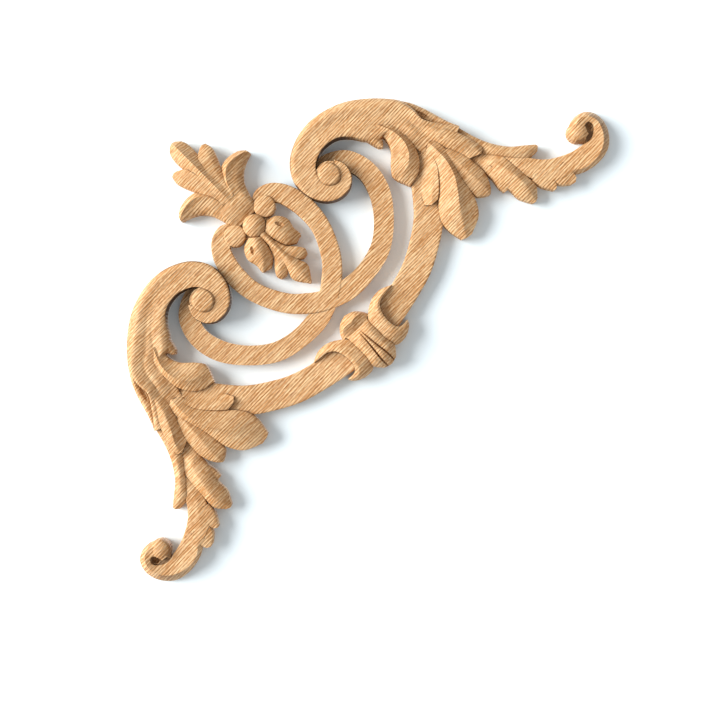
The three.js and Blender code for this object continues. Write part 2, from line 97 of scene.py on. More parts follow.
def sectionRows(form):
    # one row of points for each step along the rails, bowed between them by swell
    rails, along, across = form["rails"], form["along"], form["across"]
    swell = form.get("swell", plainSwell)
    bows = swell if isinstance(swell, list) else [swell] * (len(rails) - 1)
    rows = []
    for i in range(along + 1):
        knots = [curvePoint(rail, i / along) for rail in rails]
        row = [knots[0]]
        for j in range(1, len(knots)):
            rise = abs(knots[j].z - knots[j - 1].z)
            for k in range(1, across + 1):
                share = k / across
                point = knots[j - 1].lerp(knots[j], share)
                point.z += bows[j - 1] * rise * share * (1 - share)
                row.append(point)
        rows.append(softenedRow(row))
    return rows


def carve(name, form):
    # a grid is laid along the form's rows, and its edge is drawn down to the flat back and closed
    rows = sectionRows(form)
    bpy.ops.object.select_all(action="DESELECT")
    bpy.ops.mesh.primitive_grid_add(x_subdivisions=len(rows[0]) - 1, y_subdivisions=len(rows) - 1, size=1)
    piece = bpy.context.object
    piece.name = name
    points = [point for row in rows for point in row]
    for vertex, point in zip(piece.data.vertices, points):
        vertex.co = (point.x * mm, -point.z * mm, point.y * mm)
    bpy.ops.object.mode_set(mode="EDIT")
    bpy.ops.mesh.select_mode(type="EDGE")
    bpy.ops.mesh.select_all(action="DESELECT")
    bpy.ops.mesh.select_non_manifold()
    bpy.ops.mesh.extrude_edges_move()
    bpy.ops.transform.resize(value=(1, 0, 1), center_override=(0, 0, 0))
    bpy.ops.mesh.edge_face_add()
    faceOutward()
    return piece


def turnedBoss(name, centre, steps, sides=64):
    # a flat circle, extruded and drawn in along the [radius, height] steps of its profile
    bpy.ops.object.select_all(action="DESELECT")
    x, z = centre[0] * mm, centre[1] * mm
    bpy.ops.mesh.primitive_circle_add(vertices=sides, radius=steps[0][0] * mm, fill_type="NGON",
                                      location=(x, 0, z), rotation=(math.pi / 2, 0, 0))
    piece = bpy.context.object
    piece.name = name
    bpy.ops.object.transform_apply(location=True, rotation=True, scale=True)
    bpy.ops.object.mode_set(mode="EDIT")
    bpy.ops.mesh.select_all(action="SELECT")
    radius, high = steps[0][0], 0
    for nextRadius, nextHigh in steps:
        bpy.ops.mesh.extrude_region_move(TRANSFORM_OT_translate={"value": (0, -(nextHigh - high) * mm, 0)})
        grow = max(nextRadius, leastRadius) / radius
        bpy.ops.transform.resize(value=(grow, 1, grow), center_override=(x, 0, z))
        radius, high = max(nextRadius, leastRadius), nextHigh
    faceOutward()
    return piece


def domeSteps(radius, rimHigh, topHigh, count=10):
    # the [radius, height] steps of a quarter round
    angles = [math.pi / 2 * i / count for i in range(count + 1)]
    return [[radius * math.cos(a), rimHigh + (topHigh - rimHigh) * math.sin(a)] for a in angles]


def egg(name, scoop):
    # a ball drawn out from one end of the scoop to the other, twice as deep as it is wide
    (x0, z0), (x1, z1) = scoop["ends"]
    radius, length = scoop["radius"], math.hypot(x1 - x0, z1 - z0)
    middle = ((x0 + x1) / 2 * mm, -scoop["high"] * mm, (z0 + z1) / 2 * mm)
    bpy.ops.object.select_all(action="DESELECT")
    bpy.ops.mesh.primitive_uv_sphere_add(segments=24, ring_count=16, radius=mm, location=middle,
                                         rotation=(0, -math.atan2(z1 - z0, x1 - x0), 0))
    piece = bpy.context.object
    piece.name = name
    piece.scale = (length / 2, radius * 2, radius)
    bpy.ops.object.transform_apply(location=True, rotation=True, scale=True)
    return piece


def combine(piece, other, operation):
    # one boolean join or cut, applied at once
    cut = piece.modifiers.new(operation.lower(), "BOOLEAN")
    cut.operation = operation
    cut.solver = "MANIFOLD"
    cut.object = other
    pick(piece)
    bpy.ops.object.modifier_apply(modifier=cut.name)
    bpy.data.objects.remove(other)


def mirrored(piece):
    # flipped over the diagonal, its faces turned outward again
    piece.data.transform(Matrix.Scale(-1, 4, (1, 0, 0)))
    pick(piece)
    bpy.ops.object.mode_set(mode="EDIT")
    faceOutward()
    return piece


def copied(piece, name):
    copy = piece.copy()
    copy.data = piece.data.copy()
    copy.name = name
    bpy.context.collection.objects.link(copy)
    return copy


def valueAt(values, share):
    # the value at a share of the way along an evenly spaced list
    place = share * (len(values) - 1)
    index = min(int(place), len(values) - 2)
    return values[index] + (values[index + 1] - values[index]) * (place - index)


# the two rings, each a flat band from the small curl round the heart to under the volute: fall is how far
# each of its points lies under the top, and the lower ring has its top at under from point underFrom on
ring = {
    "outer": [[8, 110.3], [15, 114.5], [24, 112.7], [31.8, 104.5], [36.4, 90], [35.2, 71], [26, 50.2],
              [16, 38.9], [5, 31], [-12, 24.7], [-30, 24.8], [-48, 29.3], [-65, 42.6], [-76.3, 58.5],
              [-79.4, 76], [-74, 92.2], [-62, 100.6], [-50, 101.5]],
    "inner": [[12, 99], [17, 103], [20, 100.8], [22.2, 95.5], [23.9, 85.5], [23, 72], [14, 54.5],
              [7, 47.8], [0, 42.6], [-13, 37.8], [-28, 36.8], [-43, 40.6], [-56, 51], [-64.2, 63.5],
              [-66.8, 76], [-62, 88], [-54, 92.4], [-46, 93]],
    "fall": [0, 0, 0, 0, 0, 0, 0, 0, 0, 0, 0, 0, 0, 0, 0.2, 1.8, 3.6, 4.5],
    "top": 9,
    "under": 8,
    "underFrom": 9,
    "along": 300,
    "across": 10,
}


def ringForm(name, endTop):
    # the band crosses the diagonal, and from there on its top is at endTop
    tops = [(ring["top"] if i < ring["underFrom"] else endTop) - fall for i, fall in enumerate(ring["fall"])]
    rails = [[[x, z, top] for (x, z), top in zip(ring[side], tops)] for side in ("outer", "inner")]
    return carve(name, {"rails": rails, "along": ring["along"], "across": ring["across"]})


# the arc that joins the knot to the leaves
arc = {
    "rails": [
        [[6, 11, 11.6], [22, 12.5, 10.8], [36, 14.3, 9.3], [50, 18.8, 9], [62, 25.3, 9], [74, 33.8, 9],
         [86, 47.6, 9], [98, 64, 9], [103, 74, 9]],
        [[6, -9, 11.6], [24, -6.5, 10.6], [40, -3.1, 9.2], [56, 1.6, 9], [70, 8.8, 9], [84, 18.3, 9],
         [98, 33, 9], [108, 50, 9], [113, 62, 9]],
    ],
    "along": 120,
    "across": 12,
}

# the volute and arm: its two outlines from the eye round and over to the leaves
arm = {
    "outer": [[63.5, 94], [66.5, 86.5], [63.9, 78], [58, 73.8], [50, 73.6], [42.4, 77.8], [37.2, 85.8],
              [35.4, 94.5], [37.1, 103.3], [43.9, 112.4], [56, 118.9], [68, 120.9], [80, 119.4], [92, 115],
              [103, 107.5], [112, 98.7], [118.6, 89.6], [120, 80.5], [119.6, 72.5], [124, 65], [133, 53.4]],
    "inner": [[60.5, 88], [60, 84.5], [57.5, 81.5], [54.5, 81.2], [51.5, 82.8], [49.3, 85.5], [48.3, 89],
              [49, 93], [50.8, 96.3], [54.5, 99.8], [61, 102.6], [67.5, 103], [74.3, 101.2],
              [80.6, 96], [85.4, 89], [91.4, 82.6], [96.4, 82], [100, 77], [102, 69.5], [104.5, 61.5],
              [110, 42]],
    # flutes and ridges: shares of the width and heights, from the eye to the leaves
    "flutes": [
        {"share": [0, 0, 0, 0, 0, 0, 0, 0, 0, 0, 0],
         "high": [14.2, 14.2, 14.2, 14.1, 13.8, 12.9, 11.5, 11.2, 13, 16.3, 12.8]},
        {"share": [0.08, 0.08, 0.08, 0.12, 0.2, 0.18, 0.24, 0.23, 0.1, 0.04, 0.1],
         "high": [15.3, 15.3, 15.3, 15.3, 15.4, 15.6, 16, 16.6, 16.9, 17, 14.5]},
        {"share": [0.45, 0.45, 0.45, 0.45, 0.45, 0.5, 0.5, 0.48, 0.43, 0.35, 0.45],
         "high": [15.3, 15.3, 15.3, 15.3, 15.3, 15.4, 15.3, 15.1, 14.9, 14, 13]},
        {"share": [0.5, 0.5, 0.5, 0.5, 0.5, 0.56, 0.56, 0.54, 0.51, 0.5, 0.6],
         "high": [15.3, 15.3, 15.3, 15.3, 15.3, 15.4, 15.3, 15.2, 15.1, 14.5, 11.5]},
        {"share": [0.6, 0.6, 0.6, 0.6, 0.6, 0.62, 0.62, 0.6, 0.71, 0.81, 0.8],
         "high": [15.3, 15.3, 15.3, 15.3, 15.3, 15.4, 15.4, 15, 14, 12.6, 11]},
        {"share": [0.93, 0.93, 0.93, 0.93, 0.93, 0.93, 0.9, 0.82, 0.89, 0.9, 0.9],
         "high": [15.3, 15.3, 15.3, 15.3, 15.4, 15.6, 16, 16.3, 16, 12, 11]},
        {"share": [1, 1, 1, 1, 1, 1, 1, 1, 1, 1, 1],
         "high": [15.1, 15.1, 15.1, 15.1, 15.1, 15.3, 15.5, 14.6, 13.4, 11, 10.5]},
    ],
    "along": 240,
    "across": 5,
    "swell": [0.7, 0.5, 0.5, 0.5, 0.5, 0.7],
}


def armForm():
    # each flute is a rail at its own share of the way from the outer to the inner outline
    rails = []
    for flute in arm["flutes"]:
        rail = []
        for i, ((x, z), (innerX, innerZ)) in enumerate(zip(arm["outer"], arm["inner"])):
            place = i / (len(arm["outer"]) - 1)
            share = valueAt(flute["share"], place)
            rail.append([x + (innerX - x) * share, z + (innerZ - z) * share, valueAt(flute["high"], place)])
        rails.append(rail)
    return carve("arm", {"rails": rails, "along": arm["along"], "across": arm["across"],
                         "swell": arm["swell"]})


# the leaf lobes of the arm, each by one edge, its crest and its other edge
armLobes = {
    "thumb": {
        "rails": [
            [[82, 95, 13.5], [86, 89, 13.2], [87.3, 84, 12.4], [88.5, 79.8, 10.8]],
            [[85, 96.5, 16.2], [89, 90.5, 15.8], [90.7, 84, 14.6], [90.6, 77.9, 11.8]],
            [[89, 97, 15.8], [92.6, 91, 14.6], [94, 84.6, 13.4], [92.8, 79.8, 11]],
        ],
        "along": 30, "across": 8,
    },
    "curl": {
        "rails": [
            [[93.8, 89, 14], [95.2, 80, 13.4], [92.8, 73, 13.6], [86.2, 66.2, 13.6], [82.4, 61, 13],
             [82.5, 57, 11.6]],
            [[97.4, 90, 16], [101.3, 79, 17.4], [101.2, 69, 17.8], [97.2, 61.6, 17.2], [91, 57.8, 15.4],
             [83, 56, 12]],
            [[99, 88, 14.5], [104.6, 78, 12.8], [105, 66, 12.4], [101.5, 57, 12.4], [94.5, 50.8, 12],
             [85.8, 48.8, 10.8]],
        ],
        "along": 60, "across": 10, "swell": [-0.3, 0],
    },
    "armLobe": {
        "rails": [
            [[105, 61, 9], [98.5, 53, 9], [92, 46, 9], [86.8, 40, 9], [83.6, 34, 10.8]],
            [[107.5, 56.5, 12.2], [103.5, 48, 13], [97.5, 41, 13], [91, 35.3, 12.8], [86.6, 31.2, 12.2]],
            [[109, 54, 13.8], [105.6, 45.5, 14], [100.3, 38.8, 13.8], [94.6, 33, 13], [91.8, 30.7, 12]],
        ],
        "along": 40, "across": 10, "swell": [-0.5, 0.4],
    },
    "greatLobe": {
        "rails": [
            [[106, 56, 12.3], [104.5, 46, 12.3], [99, 38, 12], [93.4, 31.8, 11.5], [88, 26.3, 11],
             [83.6, 19, 10.5], [83.2, 11.5, 10], [84.8, 3, 9.5]],
            [[112, 60, 14.6], [112.3, 52, 16], [111.6, 43, 17.2], [108.3, 33.2, 18.2], [102, 23.8, 18],
             [97.3, 17.5, 16.6], [92.3, 9.4, 13.6], [87.6, 1.6, 9.8]],
            [[116, 58, 12.5], [117, 50, 12.8], [115, 42, 12.8], [111.9, 32, 12.2], [110.3, 23, 11.8],
             [108.6, 15, 11], [102.8, 6, 10], [92, 0.9, 9]],
        ],
        "along": 80, "across": 12, "swell": [0.35, -0.2],
    },
    "middleLobe": {
        "rails": [
            [[113, 50, 12], [112, 40, 12], [110.8, 30, 12], [110, 20, 11], [110.3, 15, 10.3],
             [113, 12.4, 9.6], [116.5, 10.2, 9]],
            [[115.8, 50, 13.2], [116, 40, 14.4], [116.4, 30, 14.8], [117.4, 21, 13.8], [117.6, 16, 12.5],
             [117.2, 12, 10.8], [117, 10.1, 9.2]],
            [[121, 46, 10.8], [123, 38, 11.4], [123.8, 31, 11.6], [124.2, 24, 11], [123, 18.5, 10.3],
             [120.3, 13, 9.8], [117.6, 10.2, 9]],
        ],
        "along": 50, "across": 8, "swell": 0.4,
    },
    "cap": {
        "rails": [
            [[112.5, 68, 12.6], [113.6, 62.5, 12.4], [115, 56.5, 11.8], [116.6, 51, 11.2],
             [118.6, 46.5, 11], [120.6, 42, 11], [121.8, 38.5, 11], [122.2, 35.6, 11]],
            [[118.5, 70, 15.5], [119.4, 63, 16], [121, 56, 16.6], [123.4, 50.5, 16.8], [125.6, 45.5, 16.6],
             [128.5, 40.5, 16], [130.4, 36, 14.8], [130.6, 31.9, 13]],
            [[121.5, 68, 14], [123.5, 62, 14.3], [127, 56, 14.6], [129.4, 50.8, 14.3], [131.2, 45.5, 13.8],
             [132.4, 41, 13.2], [133.4, 36.5, 12.6], [133.7, 33.6, 12]],
        ],
        "along": 60, "across": 8, "swell": [0.3, 0.6],
    },
    "outerLobe": {
        "rails": [
            [[114.5, 91, 10], [117.4, 85, 9], [118.6, 76, 7.5], [121, 68, 8], [126.5, 59, 9.5],
             [131.5, 53.8, 9.5]],
            [[115.4, 93, 10.5], [120, 85.6, 11.6], [123.6, 77.5, 11], [126, 69, 11], [129.3, 60.5, 11.4],
             [132.8, 53.8, 11]],
            [[116, 94.2, 9.5], [122, 85.6, 9], [125.6, 77.3, 8.5], [128.4, 68, 8.5], [131, 59.5, 9],
             [133.6, 53.6, 9]],
        ],
        "along": 40, "across": 6, "swell": [0.6, 0.9],
    },
}

# the tail: its own leaf, the teeth along its foot and the stem that ends in a curl
tail = {
    "tailTooth": {
        "rails": [
            [[132.2, 55, 8.5], [134.3, 46, 9.3], [137, 38, 9.6], [141, 30, 10], [147, 22, 10],
             [153.2, 17, 9.5], [158.8, 12.4, 8.5]],
            [[130, 54, 9], [131.5, 45, 10.2], [134, 36, 11.2], [138.7, 27, 13], [145, 19, 13],
             [151.5, 13.2, 12], [159.2, 10.6, 9]],
            [[127, 53, 8.5], [128, 43, 8.8], [130.5, 33, 9], [137, 24, 11], [143, 16.3, 11.5],
             [149.7, 9.4, 10.5], [156.4, 8.4, 8.5]],
        ],
        "along": 60, "across": 8,
    },
    "tailLobe": {
        "rails": [
            [[122.6, 38, 8], [123.6, 30, 8.4], [124.4, 22, 9.2], [125.2, 12, 10], [127.8, 3, 10],
             [127.9, -4, 9.5], [131.9, -12.3, 8.5]],
            [[128, 37, 8], [130, 30, 9], [132.4, 22, 12.4], [134.9, 12, 14.8], [136.1, 3, 15],
             [135.9, -4, 13.6], [134, -13.1, 9]],
            [[137.6, 33, 9], [138.6, 26, 10], [139.4, 19, 11], [140.3, 10, 10.8], [141, 2, 10],
             [141, -6, 9.5], [136.6, -11.9, 8.5]],
        ],
        "along": 60, "across": 10, "swell": [0.9, 0.25],
    },
    "tailNick": {
        "rails": [
            [[125.4, 24, 9], [124.7, 15, 9], [123.8, 9.5, 8.8], [124.3, 5, 8.5]],
            [[127.6, 24, 11.5], [126.8, 15, 11], [125.9, 9.6, 10], [125.4, 4.8, 8.8]],
            [[129.5, 23, 12], [129, 14, 12], [128.4, 8, 11], [127.2, 4.7, 9]],
        ],
        "along": 24, "across": 5,
    },
    "firstTooth": {
        "rails": [
            [[141.4, -2, 10.6], [142.8, -9, 10.2], [146.8, -16, 9.6]],
            [[146, -1, 11.3], [147, -9, 11], [148.2, -16.4, 10]],
            [[152, -3, 11.4], [151.5, -10, 11.1], [150.4, -14.6, 10.3]],
        ],
        "along": 24, "across": 8,
    },
    "lastTooth": {
        "rails": [
            [[150.3, -9, 11], [152, -16.3, 10.5], [157.4, -21.3, 9.8]],
            [[156, -8, 11.4], [157.5, -14.5, 11.2], [159.8, -21.7, 10.1]],
            [[163, -8, 11.4], [163.4, -14, 11.3], [162.3, -19.8, 10.4]],
        ],
        "along": 24, "across": 8,
    },
    "stem": {
        "rails": [
            [[138, 22, 10.2], [141, 2, 10.4], [148, -10, 10.8], [160, -16, 11], [170, -21.6, 4.5],
             [180.3, -23.4, 4.5], [190.6, -20.9, 4.5], [198, -12.8, 4.5], [199.9, -4, 5],
             [197.2, 3.3, 5.5], [190.6, 6.9, 6.5], [183.6, 6.1, 8], [178.8, 2.3, 9.5],
             [177.9, -3.6, 9.5], [181.2, -8.8, 9]],
            [[142, 22, 11], [145, 6, 11.4], [153, -6, 11.7], [163, -14.5, 11.7], [170, -19.6, 11.8],
             [180, -20.3, 11.8], [188, -17.2, 12.2], [193.7, -10.6, 12.8], [195.5, -4, 13.3],
             [193.6, 1.2, 13.7], [189.6, 4, 14], [184.8, 3.4, 14.4], [181.6, 0.4, 14.6],
             [181.4, -3.6, 14.3], [183.2, -6.6, 13]],
            [[146, 18, 10.8], [150.7, 8.1, 10.8], [157, 0.8, 10.8], [164.2, -3.8, 10.6], [171, -6.8, 10.4],
             [178.2, -8.4, 10.2], [185.2, -9.6, 10.6], [190.2, -6.9, 11.5], [192.2, -3.8, 12.3],
             [191.2, -1.2, 12.8], [189.2, -0.8, 13.1], [187.4, -1.8, 13.4], [186.6, -3.3, 13.4],
             [186.4, -4.8, 13.1], [186.4, -6.3, 12.3]],
        ],
        "along": 170, "across": 8, "swell": [0.3, 0.2],
    },
}

# the knot on the arc, its rolled rim and the cuff that the arc comes out of
knot = {
    "knotBody": {
        "rails": [
            [[8.6, 11.5, 13.2], [8.4, 8, 14.6], [8.2, 3, 15.8], [8.2, -6, 15.4], [9.4, -13.6, 12],
             [5.6, -19, 9]],
            [[4.6, 11.5, 13.2], [4.6, 8, 15.8], [4.6, 3, 18.2], [5, -6, 18], [5.6, -13.5, 16.4],
             [4.2, -19.8, 10]],
            [[1.6, 11.5, 13.2], [1.5, 7, 16.4], [1.6, 3, 18.4], [2.5, -6, 18.1], [3.4, -13.5, 16.6],
             [3.2, -20.1, 10]],
            [[0.6, 11.5, 13.2], [0.6, 7, 16.2], [0.9, 3, 16.6], [1.8, -6, 15.2], [2.7, -13.5, 13.2],
             [2.6, -20.3, 8]],
            [[0.3, 11.5, 13.2], [0.3, 7, 16.4], [0.3, 3, 18.3], [1, -6, 18], [1.8, -13.5, 16.8],
             [2, -20.5, 10.4]],
            [[0, 11.5, 13.2], [0, 7, 16.4], [0, 3, 18.4], [0, -6, 18.4], [0, -13.5, 17.4], [0, -20.9, 11]],
        ],
        "along": 40, "across": 6, "swell": [0.3, 0.5, 0, 0, 0.5],
    },
    "knotRim": {
        "rails": [
            [[11.6, 10.6, 9.5], [9.6, 15, 9.8], [5.6, 19, 10.3], [0, 20.9, 11]],
            [[9.2, 10.6, 13.4], [7.4, 14.6, 16], [4, 15.6, 17.6], [0, 14.8, 18.2]],
            [[8, 8.4, 14], [6.4, 8.4, 14.2], [3.4, 8.8, 14.6], [0, 9, 14.8]],
        ],
        "along": 26, "across": 8, "swell": [0.5, -0.5],
    },
    "cuff": {
        "rails": [
            [[34, 14, 9.4], [27, 16.8, 9.8], [20, 16.4, 10], [13, 12.8, 11.8], [8.4, 8, 14.4],
             [8.1, 0, 15.4], [8.2, -8, 14.6], [10.4, -14.8, 10.5], [18.4, -15, 9], [24.6, -11.4, 8.5],
             [26.2, -8.6, 8.5]],
            [[33.7, 13.7, 10.8], [28.5, 13.8, 13.8], [23, 13.2, 15.2], [18.4, 10.4, 16.6], [15.8, 5, 17.2],
             [15.2, -1, 17.2], [15.8, -6, 16.8], [17.6, -9.8, 15.4], [20.6, -11, 13.8], [23.8, -10, 12.2],
             [25.8, -8.5, 10.2]],
            [[33.6, 13.4, 10.4], [28.4, 12.9, 13.4], [24, 12.2, 14.4], [19.7, 9.4, 15.8], [17.5, 4.4, 16.4],
             [17, -1.8, 16.4], [17.7, -5.4, 15.8], [19.4, -7.9, 14.4], [21.4, -8.6, 13.2], [23.6, -8.6, 12],
             [25.5, -8.3, 10]],
        ],
        "along": 90, "across": 8, "swell": [0.5, 0.3],
    },
}

# the palmette: a ridged blade with side points and a rolled leaf on either side
palmette = {
    "blade": {
        "rails": [
            [[0, 114, 12.2], [0, 121, 14.1], [0, 129, 15.6], [0, 139, 16.8], [0, 152, 17.2],
             [0, 163, 15.8], [0, 168.6, 13.6], [0, 171.8, 10.6]],
            [[5, 114, 11.6], [5, 121, 13], [5.2, 129, 13.4], [5.6, 139, 12.8], [6.2, 152.5, 11.2],
             [6.8, 162.6, 9.8], [5.4, 168.2, 9.6], [2.4, 171.2, 9.6]],
        ],
        "along": 60, "across": 8, "swell": -0.15,
    },
    "bladePoint": {
        "rails": [
            [[0.4, 122, 13], [1, 138, 14.8], [3.6, 149, 14], [5.2, 154, 12.8], [9.8, 157.4, 10]],
            [[4, 122, 13.8], [6.4, 138, 14], [10, 148.6, 13.4], [11.4, 154, 12.2], [12.2, 158, 10.2]],
            [[6.6, 124, 12.6], [10.4, 138.5, 11.6], [14, 147, 10.8], [15.6, 152.5, 10.4], [14.7, 157, 9.8]],
        ],
        "along": 44, "across": 8, "swell": [0.1, 0.6],
    },
    "rolledLeaf": {
        "rails": [
            [[2.5, 118, 12], [3.6, 128.8, 11.5], [6.9, 134.9, 10.5], [10.5, 139.6, 10], [17.5, 141.2, 9.8],
             [25.5, 139.6, 9.6], [29.4, 136.6, 9.5]],
            [[4.2, 117.5, 12.4], [6, 128, 14.6], [9.4, 133.6, 15.2], [13.8, 137, 15.4], [19.5, 137.6, 15],
             [25.5, 136.6, 13.6], [29.8, 135, 10.5]],
            [[7.6, 115.5, 11.6], [10.5, 125.5, 13], [14.5, 131, 12.8], [18.5, 134, 12.8], [22, 134.8, 12.4],
             [26.5, 134.8, 11.6], [30, 134.2, 10]],
            [[10.8, 112.5, 9], [14.3, 122.8, 9.3], [17, 126.3, 9.2], [19.5, 128.7, 9], [23, 130.8, 9],
             [26.5, 132.2, 9], [30.1, 133.3, 8.8]],
        ],
        "along": 50, "across": 8, "swell": [0.2, -0.2, 0.6],
    },
    "neck": {
        "rails": [
            [[0, 105.5, 9.5], [0, 111, 12.4], [0, 117, 13.7], [0, 127, 13.4]],
            [[7, 106, 9.3], [8.4, 111, 11.6], [8.4, 117, 12.8], [7, 126, 11.4]],
            [[9.4, 107, 8.5], [11, 112, 9], [12, 117.5, 9], [13, 122, 8.6]],
        ],
        "along": 24, "across": 8, "swell": [0.1, 0.8],
    },
}

# the drop under the palmette: twin buds and a small hanging leaf
drop = {
    "stalk": {
        "rails": [
            [[0, 112, 8.5], [0, 104, 8.5], [0, 96, 8.5], [0, 84, 8]],
            [[7.5, 110, 8], [9, 104, 8], [9.5, 96, 8], [4.5, 84, 8]],
        ],
        "along": 16, "across": 4,
    },
    "bud": {
        "rails": [
            [[8, 96.8, 10], [14.2, 94.3, 10], [17.7, 88, 10], [16.5, 81.5, 9.5], [17, 76.4, 8.5]],
            [[5, 94, 14], [8, 89.5, 15.5], [9.5, 84, 15], [12.3, 79, 13], [16.4, 75.5, 9]],
            [[2, 92, 12], [2.4, 88, 12], [3.4, 83, 11], [5.8, 77.4, 10], [11, 73.8, 8.5]],
        ],
        "along": 40, "across": 10,
    },
    "hangingRib": {
        "rails": [
            [[0, 94, 13.5], [0, 80, 13.5], [0, 66, 13], [0, 57, 12], [0, 50.2, 9]],
            [[2.4, 94, 11.5], [2.4, 80, 11], [4.6, 66, 10.5], [6.5, 59.5, 9.5], [0.8, 50.4, 8.5]],
        ],
        "along": 44, "across": 6,
    },
    "hangingPoint": {
        "rails": [
            [[2.5, 85, 9], [5.4, 77, 9.5], [9.8, 72, 9.5], [12.4, 67.5, 9], [11.4, 64.6, 8.5]],
            [[2, 85, 11], [4.5, 75, 11.5], [7.4, 70, 11.5], [9.4, 66.8, 10.5], [9.6, 64, 8.8]],
            [[1, 85, 12], [1.8, 73, 12], [3.2, 68.5, 11], [5, 65.6, 9.8], [7.2, 63.8, 8.5]],
        ],
        "along": 30, "across": 6,
    },
}

# the turned details: the ring's button, the eye in its bed, the bed of the tail's curl and the berry
bosses = {
    "button": {"centre": [13, 103.8], "steps": [[6.8, 10], [6.5, 10.5], [5.8, 10.8], [0, 10.8]]},
    "eyeBed": {"centre": [55, 88.8], "steps": [[8.4, 14.9], [0, 15.1]]},
    "eye": {"centre": [55, 88.9], "steps": [[7.4, 14.9], [6.1, 17], [5.7, 17.2], [0, 16.4]]},
    "curlBed": {"centre": [187, -5], "steps": [[6.5, 9], [0, 9.2]]},
    "curlBall": {"centre": [182.5, -0.8],
                 "steps": [[6.4, 9.5], [6.1, 11.4], [5.2, 13.2], [3.8, 14.4], [2, 15.1], [0, 15.3]]},
}
berry = {"centre": [0, 99.5], "radius": 7.2, "rim": 11, "top": 16.5}

# small egg-shaped hollows, each from one end to the other
scoops = {
    "budSlot": {"ends": [[10.4, 91.9], [13.2, 86.3]], "radius": 1.45, "high": 14.8},
    "tailHole": {"ends": [[189.5, -0.2], [189, -6.2]], "radius": 2.5, "high": 10.5},
    "eyelet": {"ends": [[120.4, 79.6], [123.2, 69]], "radius": 1.5, "high": 11},
}

half = armForm()
for pieceName, form in {"arc": arc, **armLobes, **tail, **knot, **palmette, **drop}.items():
    combine(half, carve(pieceName, form), "UNION")
for pieceName, boss in bosses.items():
    combine(half, turnedBoss(pieceName, boss["centre"], boss["steps"]), "UNION")
for pieceName, scoop in scoops.items():
    combine(half, egg(pieceName, scoop), "DIFFERENCE")
print("half carved:", len(half.data.polygons), "faces")

applique = copied(half, "carved_applique")
combine(applique, mirrored(half), "UNION")
combine(applique, ringForm("ring", ring["under"]), "UNION")
combine(applique, mirrored(ringForm("other_ring", ring["top"])), "UNION")
berrySteps = domeSteps(berry["radius"], berry["rim"], berry["top"])
combine(applique, turnedBoss("berry", berry["centre"], berrySteps), "UNION")
print("both halves joined:", len(applique.data.polygons), "faces")

finish = {"weld": 0.02, "smoothAngle": math.radians(48)}
applique.data.transform(Matrix.Rotation(cornerTurn, 4, "Y"))
applique.data.update()
pick(applique)
bpy.ops.object.mode_set(mode="EDIT")
bpy.ops.mesh.select_all(action="SELECT")
bpy.ops.mesh.remove_doubles(threshold=finish["weld"] * mm)
bpy.ops.object.mode_set(mode="OBJECT")
bpy.ops.object.shade_smooth_by_angle(angle=finish["smoothAngle"])

# painted shade: the steep sides round the volute and at the tail's curl are painted darker for the shade
# that falls on them, fading out at the edge of their reach; at the tail's curl only the sides turned away
# from the key light get it
shadedSides = [
    {"across": 54, "up": 92, "reach": 31, "steepest": 0.5, "tone": 1.0, "litToo": True},
    {"across": 186, "up": -6, "reach": 17, "steepest": 0.62, "tone": 0.5, "litToo": False},
]
sideShadeFade, litShare = 7, 0.2
paintedSideShade = applique.data.attributes.new("painted_side_shade", "FLOAT", "FACE")
for polygon in applique.data.polygons:
    x, z = polygon.center.x / mm, polygon.center.z / mm
    across, up = abs(x + z) / math.sqrt(2), (z - x) / math.sqrt(2)
    turnedAway = polygon.normal.x > litShare * polygon.normal.z
    for side in shadedSides:
        left = side["reach"] - math.hypot(across - side["across"], up - side["up"])
        steep = abs(polygon.normal.y) < side["steepest"]
        if left > 0 and steep and (side["litToo"] or turnedAway):
            paintedSideShade.data[polygon.index].value = side["tone"] * min(left / sideShadeFade, 1)

# painted shade in the seams where two forms meet: the creases are painted darker for the shade that falls in
# them, a value kept at the points of the mesh
seamStart, seamFull, backMargin = math.radians(32), math.radians(80), 0.5
beside, seamShadeDepths = {}, {}
for polygon in applique.data.polygons:
    for key in polygon.edge_keys:
        if key not in beside:
            beside[key] = polygon
            continue
        other = beside[key]
        turn = polygon.normal.angle(other.normal, 0)
        if turn > seamStart and (polygon.center - other.center).dot(other.normal) > 0:
            depth = min((turn - seamStart) / (seamFull - seamStart), 1)
            for corner in key:
                seamShadeDepths[corner] = max(seamShadeDepths.get(corner, 0), depth)
paintedSeamShade = applique.data.attributes.new("painted_seam_shade", "FLOAT", "POINT")
for corner, depth in seamShadeDepths.items():
    if applique.data.vertices[corner].co.y < -backMargin * mm:
        paintedSeamShade.data[corner].value = depth
print("finished mesh:", len(applique.data.polygons), "faces")

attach(applique, "root")
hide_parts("applique")

